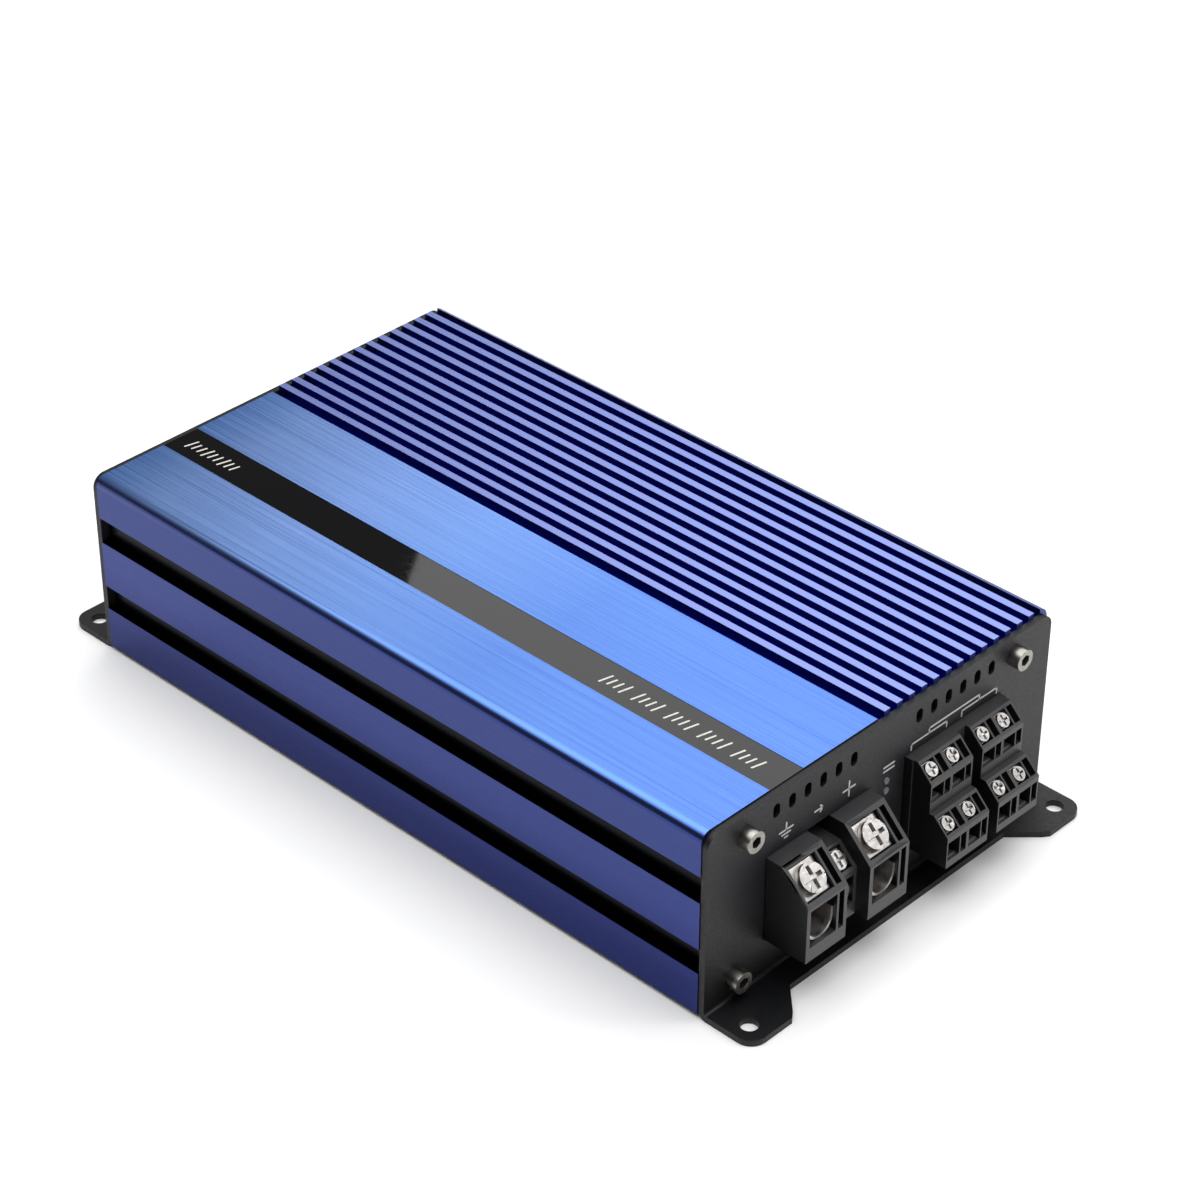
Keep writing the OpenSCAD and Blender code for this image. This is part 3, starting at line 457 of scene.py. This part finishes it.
def moulded_epoxy(name, code, roughness):
    """Transfer-moulded plastic: dark, with a fine matt grain of 0.24 mm from the tool."""
    mat, tree, surface = material(name, Roughness=roughness)
    resin = hex_colour(code)
    where = add(tree, "ShaderNodeTexCoord").outputs["Object"]
    grain = add(tree, "ShaderNodeTexNoise", Vector=where, Scale=every(0.238),
                Detail=3.0).outputs["Fac"]
    shade = add(tree, "ShaderNodeMix", {"data_type": "RGBA"}, i0=grain, i6=resin,
                i7=(*(min(1.0, c * 1.5) for c in resin[:3]), 1.0)).outputs[2]
    tree.links.new(shade, surface.inputs["Base Color"])
    bump = add(tree, "ShaderNodeBump", Strength=0.15, Distance=0.03 * MM, Height=grain).outputs[0]
    tree.links.new(bump, surface.inputs["Normal"])
    return mat


cover(sintered_ferrite(), "transformer_core", "output_inductors")
cover(turned_brass("enamelled_copper_wire", "#b5652f", 0.3), "transformer_winding")
cover(can_sleeve(), "input_capacitors", "rail_capacitors")
cover(moulded_epoxy("moulded_epoxy", "#161618", 0.5), "control_chips", "power_transistors")
cover(moulded_epoxy("silicone_pad", "#8b949c", 0.7), "insulating_pads")
cover(zinc_steel, "clamp_bars", "clamp_bar_screws")


# ---- End plates ----------------------------------------------------------------------------------
# 2 mm sheet steel, laser-cut and bent: the upright closes the casing, and the flange underneath
# carries the mounting feet. Both are powder-coated satin black, and the signs are printed in white.

plate_face_x = 121 * MM
sign_width = 0.55
cover(coated_steel, "terminal_end_plate", "input_end_plate")
break_edges(0.25, "terminal_end_plate", "input_end_plate")
white_ink = screen_ink("white_screen_ink", "#cfcfcb")


def on_terminal_plate(y, z, out):
    return Vector((plate_face_x + out * MM, y * MM, z * MM))


earth_sign = [
    [(-39.6, 48.4), (-39.6, 46.2)], [(-42.2, 46.2), (-37.0, 46.2)],
    [(-41.2, 45.0), (-38.0, 45.0)], [(-40.2, 43.8), (-39.0, 43.8)],
]
remote_arrow = [
    [(-28.4, 45.6), (-25.2, 45.6)], [(-26.2, 46.6), (-25.2, 45.6)],
    [(-26.2, 44.6), (-25.2, 45.6)],
]
battery_plus = [[(-17.2, 45.8), (-12.4, 45.8)], [(-14.8, 48.2), (-14.8, 43.4)]]
light_lines = [[(-0.6, 43.2), (3.6, 43.2)], [(-0.6, 44.6), (3.6, 44.6)]]
speaker_brackets = [
    [(10.6, 44.6), (10.6, 46.4), (25.4, 46.4), (25.4, 44.6)],
    [(31.8, 44.6), (31.8, 46.4), (46.8, 46.4), (46.8, 44.6)],
    [(18.0, 46.4), (18.0, 48.0), (39.2, 48.0), (39.2, 46.4)],
]
terminal_signs = earth_sign + remote_arrow + battery_plus + light_lines + speaker_brackets
terminal_marks = strokes("terminal_plate_marks", terminal_signs, sign_width, on_terminal_plate)
terminal_marks.data.materials.append(white_ink)


# ---- Power terminal block ------------------------------------------------------------------------
# Moulded flame-retardant nylon on the board, standing out through the end plate. Each cell has a
# sloped screw well, a round-bottomed contact trough behind the wire hole, and a narrow slot.

def moulded_nylon():
    """Glass-filled nylon: charcoal, satin, with a spark-eroded texture of about 0.25 mm. The flanks
    facing -Y are painted black as shade."""
    mat, tree, surface = material("moulded_glass_filled_nylon", Roughness=0.4, IOR=1.53)
    where = add(tree, "ShaderNodeTexCoord").outputs["Object"]
    grain = add(tree, "ShaderNodeTexNoise", Vector=where, Scale=every(0.263), Detail=3.0,
                Roughness=0.6).outputs["Fac"]
    cloud = add(tree, "ShaderNodeTexNoise", Vector=where, Scale=every(8.33),
                Detail=3.0).outputs["Fac"]
    satin = add(tree, "ShaderNodeMix", {"data_type": "RGBA"}, i0=cloud, i6=hex_colour("#2b2b2d"),
                i7=hex_colour("#3d3d3f")).outputs[2]
    # The flanks facing -Y are painted black as shade
    normal = add(tree, "ShaderNodeNewGeometry").outputs["Normal"]
    sideways = add(tree, "ShaderNodeSeparateXYZ", Vector=normal).outputs["Y"]
    painted_shade_flank = add(tree, "ShaderNodeMath", {"operation": "LESS_THAN"}, i0=sideways,
                i1=-0.9).outputs[0]
    shade = add(tree, "ShaderNodeMix", {"data_type": "RGBA"}, i0=painted_shade_flank, i6=satin,
                i7=hex_colour("#050507")).outputs[2]
    tree.links.new(shade, surface.inputs["Base Color"])
    rough = add(tree, "ShaderNodeMapRange", Value=grain, i1=0.3, i2=0.7, i3=0.3,
                i4=0.5).outputs[0]
    tree.links.new(rough, surface.inputs["Roughness"])
    bump = add(tree, "ShaderNodeBump", Strength=0.2, Distance=0.04 * MM, Height=grain).outputs[0]
    tree.links.new(bump, surface.inputs["Normal"])
    return mat


nylon = moulded_nylon()
nickel = plated_steel("nickel_plated_steel", "#cfccca", 0.3)
tin = plated_steel("tinned_brass", "#e6e1dc", 0.36)
cover(nylon, "power_terminal_block")
cover(tin, "power_contacts")
break_edges(0.3, "power_terminal_block")
for terminal in ("ground", "battery", "remote"):
    cover(nickel, f"{terminal}_screw")
    cover(tin, f"{terminal}_clamp")
    break_edges(0.2, f"{terminal}_screw", f"{terminal}_clamp")


# ---- Speaker terminals ---------------------------------------------------------------------------
# Two tiers of four small cells, moulded in one piece. The screws and their square pressure plates
# are plated like their larger neighbours, and each works in the same way.

cover(nylon, "speaker_terminal_block")
cover(tin, "speaker_contacts")
break_edges(0.2, "speaker_terminal_block")
for cell in range(1, 9):
    cover(nickel, f"speaker_screw_{cell}")
    cover(tin, f"speaker_clamp_{cell}")
    break_edges(0.1, f"speaker_screw_{cell}", f"speaker_clamp_{cell}")


# ---- Status lights -------------------------------------------------------------------------------
# Two clear light pipes of acrylic rod that carry the power and fault lamps from the board to the
# end plate. They are pushed into its holes from behind.

def light_pipe():
    """Clear acrylic rod: smoky, with the dark board showing through."""
    mat, tree, surface = material("clear_light_pipe", Roughness=0.15, IOR=1.49)
    surface.inputs["Base Color"].default_value = hex_colour("#a9adb2")
    surface.inputs["Transmission Weight"].default_value = 0.5
    return mat


cover(light_pipe(), "status_lights")


# ---- Signal jacks --------------------------------------------------------------------------------
# Four phono jacks in one black housing. Their barrels are rolled brass, gold-plated, and the inserts
# are white above and red below, as for left and right.

jack_rows_mid_z = 31 * MM


def jack_plastic():
    """Coloured insulator: white in the upper pair and red in the lower one."""
    mat, tree, surface = material("moulded_jack_insulator", Roughness=0.35)
    where = add(tree, "ShaderNodeTexCoord").outputs["Object"]
    height = add(tree, "ShaderNodeSeparateXYZ", Vector=where).outputs["Z"]
    upper = add(tree, "ShaderNodeMath", {"operation": "GREATER_THAN"}, i0=height,
                i1=jack_rows_mid_z).outputs[0]
    shade = add(tree, "ShaderNodeMix", {"data_type": "RGBA"}, i0=upper,
                i6=hex_colour("#b3201c"), i7=hex_colour("#e9e7e0")).outputs[2]
    tree.links.new(shade, surface.inputs["Base Color"])
    return mat


moulded_black = moulded_epoxy("moulded_abs", "#18181a", 0.42)
cover(moulded_black, "jack_housing")
cover(turned_brass("gold_plated_brass", "#e0b65a", 0.2), "jack_shells")
cover(jack_plastic(), "jack_inserts")
break_edges(0.15, "jack_shells", "jack_inserts")


# ---- Level knobs and filter switches -------------------------------------------------------------
# Four ribbed knobs on potentiometers and two slide switches, all soldered to the board behind the
# plate. A white line on each knob shows where it is set, and the plate has a printed scale round it.

knobs = ("front_level_knob", "rear_level_knob", "low_pass_knob", "high_pass_knob")
levers = ("front_filter_lever", "rear_filter_lever")
input_face_x = -121 * MM
turn_each_way = 140
scale_steps = 10
scale_start, short_tick, long_tick = 5.9, 6.6, 7.0
pointer_floor = 0.98
pointer_width, pointer_height = 0.6, 0.5
scale_width = 0.45
cover(moulded_black, *knobs, *levers)
cover(zinc_steel, "pot_bodies", "switch_bodies")
break_edges(0.15, *levers)


def on_input_plate(y, z, out):
    return Vector((input_face_x - out * MM, y * MM, z * MM))


def in_pointer_groove(y, z, out):
    """The floor of the groove lies pointer_floor millimetres under the knob's cap."""
    return Vector((cap_x + (pointer_floor - out) * MM, y * MM, z * MM))


scale_lines = []
for knob in knobs:
    low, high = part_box(knob)
    cap_x = low.x
    middle_y, middle_z = (low.y + high.y) / 2 / MM, (low.z + high.z) / 2 / MM
    pointer = strokes(knob.replace("_knob", "_pointer"),
                      [[(middle_y, middle_z + 1.6), (middle_y, middle_z + 4.5)]],
                      pointer_width, in_pointer_groove, pointer_height, knob)
    pointer.data.materials.append(white_ink)
    for step in range(scale_steps + 1):
        angle = math.radians(turn_each_way * (2 * step / scale_steps - 1))
        reach = short_tick if step % 5 else long_tick
        scale_lines.append([(middle_y + r * math.sin(angle), middle_z + r * math.cos(angle))
                            for r in (scale_start, reach)])
for lever in levers:
    low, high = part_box(lever)
    middle_y, middle_z = (low.y + high.y) / 2 / MM, (low.z + high.z) / 2 / MM
    for shift in (-2.0, 0.0, 2.0):
        scale_lines.append([(middle_y + shift, middle_z + 3.0), (middle_y + shift, middle_z + 4.2)])
# Brackets above and below the jacks pair them
jacks_low, jacks_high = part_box("jack_shells")
bracket_left, bracket_right = jacks_low.y / MM + 2, jacks_high.y / MM - 2
for edge_z, away in ((jacks_high.z / MM, 1), (jacks_low.z / MM, -1)):
    near, far = edge_z + away * 1.4, edge_z + away * 2.6
    scale_lines.append([(bracket_left, near), (bracket_left, far),
                        (bracket_right, far), (bracket_right, near)])
input_marks = strokes("input_plate_marks", scale_lines, scale_width, on_input_plate)
input_marks.data.materials.append(white_ink)


# ---- Casing screws -------------------------------------------------------------------------------
# M4 socket-head screws, nickel-plated, that cut their own thread in the extrusion's channels. Their
# sockets end less than 2.5 mm above the plate.

socket_floor_x = plate_face_x + 2.5 * MM


def socket_screw_steel():
    """Nickel over steel, duller than the clamp screws and clouded in patches of 1.1 mm, with painted
    shade on the socket floors."""
    mat, tree, surface = material("dull_nickel_plated_steel", Metallic=1.0, Roughness=0.32)
    where = add(tree, "ShaderNodeTexCoord").outputs["Object"]
    cloud = add(tree, "ShaderNodeTexNoise", Vector=where, Scale=every(1.11),
                Detail=4.0).outputs["Fac"]
    bright = add(tree, "ShaderNodeMix", {"data_type": "RGBA"}, i0=cloud,
                 i6=hex_colour("#6f6d69"), i7=hex_colour("#b5b2ab")).outputs[2]
    # The socket floors are painted black as shade
    along = add(tree, "ShaderNodeSeparateXYZ", Vector=where).outputs["X"]
    out = add(tree, "ShaderNodeMath", {"operation": "ABSOLUTE"}, i0=along).outputs[0]
    normal = add(tree, "ShaderNodeNewGeometry").outputs["Normal"]
    facing = add(tree, "ShaderNodeSeparateXYZ", Vector=normal).outputs["X"]
    facing = add(tree, "ShaderNodeMath", {"operation": "ABSOLUTE"}, i0=facing).outputs[0]
    floor_face = add(tree, "ShaderNodeMath", {"operation": "GREATER_THAN"}, i0=facing,
                     i1=0.8).outputs[0]
    sunk = add(tree, "ShaderNodeMath", {"operation": "LESS_THAN"}, i0=out,
               i1=socket_floor_x).outputs[0]
    painted_socket_shade = add(tree, "ShaderNodeMath", {"operation": "MULTIPLY"}, i0=floor_face,
               i1=sunk).outputs[0]
    shade = add(tree, "ShaderNodeMix", {"data_type": "RGBA"}, i0=painted_socket_shade, i6=bright,
                i7=hex_colour("#0b0b0c")).outputs[2]
    tree.links.new(shade, surface.inputs["Base Color"])
    return mat


cover(socket_screw_steel(), "terminal_plate_screws", "input_plate_screws")
break_edges(0.25, "terminal_plate_screws", "input_plate_screws")


# ---- Camera, floor and light ---------------------------------------------------------------------
# A plain pale floor of painted board, a large soft light above and behind, a small one over the
# terminals, and a camera that looks down on the terminal end at about three quarters.

floor_half = 4.0

camera_data = bpy.data.cameras.new("camera")
camera_data.sensor_width = 36.0
camera_data.lens = 102.16
camera_data.clip_start, camera_data.clip_end = 0.05, 20.0
camera = bpy.data.objects.new("camera", camera_data)
bpy.context.scene.collection.objects.link(camera)
azimuth, elevation, roll = (math.radians(angle) for angle in (43.854, 34.406, 0.229))
target = Vector((0.0054805, 0.0112702, 0.0374124))
distance = 0.97542
back = Vector((math.sin(azimuth) * math.cos(elevation), -math.cos(azimuth) * math.cos(elevation),
               math.sin(elevation)))
level = Vector((math.cos(azimuth), math.sin(azimuth), 0.0))
up = back.cross(level)
right = math.cos(roll) * level + math.sin(roll) * up
up = -math.sin(roll) * level + math.cos(roll) * up
turned = Matrix((right, up, back)).transposed().to_4x4()
camera.matrix_world = Matrix.Translation(target + distance * back) @ turned
bpy.context.scene.camera = camera


def floor_finish():
    """Matt painted board, almost white, with a faint unevenness of about 330 mm from the roller."""
    mat, tree, surface = material("matt_painted_board", Roughness=0.8)
    where = add(tree, "ShaderNodeTexCoord").outputs["Object"]
    cloud = add(tree, "ShaderNodeTexNoise", Vector=where, Scale=every(333.3),
                Detail=2.0).outputs["Fac"]
    shade = add(tree, "ShaderNodeMix", {"data_type": "RGBA"}, i0=cloud,
                i6=hex_colour("#f4f4f4"), i7=hex_colour("#fafafa")).outputs[2]
    tree.links.new(shade, surface.inputs["Base Color"])
    return mat


floor_data = bpy.data.meshes.new("floor")
floor_data.from_pydata([(-floor_half, -floor_half, 0), (floor_half, -floor_half, 0),
                        (floor_half, floor_half, 0), (-floor_half, floor_half, 0)],
                       [], [(0, 1, 2, 3)])
floor = bpy.data.objects.new("floor", floor_data)
bpy.context.scene.collection.objects.link(floor)
floor.data.materials.append(floor_finish())


def soft_light(name, shape, width, power, where, aim):
    """A soft box at where, facing aim; width is in metres and power in watts."""
    data = bpy.data.lights.new(name, "AREA")
    data.shape = shape
    data.size = width
    data.energy = power
    lamp = bpy.data.objects.new(name, data)
    bpy.context.scene.collection.objects.link(lamp)
    lamp.location = where
    lamp.rotation_euler = (Vector(aim) - Vector(where)).to_track_quat("-Z", "Y").to_euler()


soft_light("back_disc", "DISK", 1.45, 8.6, (-0.88, 1.62, 1.55), (0, 0, 0.06))
soft_light("terminal_light", "SQUARE", 0.45, 4.6, (1.25, 1.15, 1.2), (0.13, 0, 0.03))

# The room is bright overhead and falls to a dim horizon, as under a wide overhead scrim
world = bpy.data.worlds.new("studio")
world.use_nodes = True
sky = world.node_tree
heading = add(sky, "ShaderNodeTexCoord").outputs["Generated"]
heading = add(sky, "ShaderNodeSeparateXYZ", Vector=heading).outputs["Z"]
scrim = add(sky, "ShaderNodeMapRange", {"interpolation_type": "SMOOTHSTEP"}, Value=heading,
            i1=0.62, i2=0.92, i3=0.10, i4=2.9).outputs[0]
sky.nodes["Background"].inputs["Color"].default_value = (1.0, 1.0, 1.0, 1.0)
sky.links.new(scrim, sky.nodes["Background"].inputs["Strength"])
bpy.context.scene.world = world
bpy.context.scene.view_settings.view_transform = "Standard"
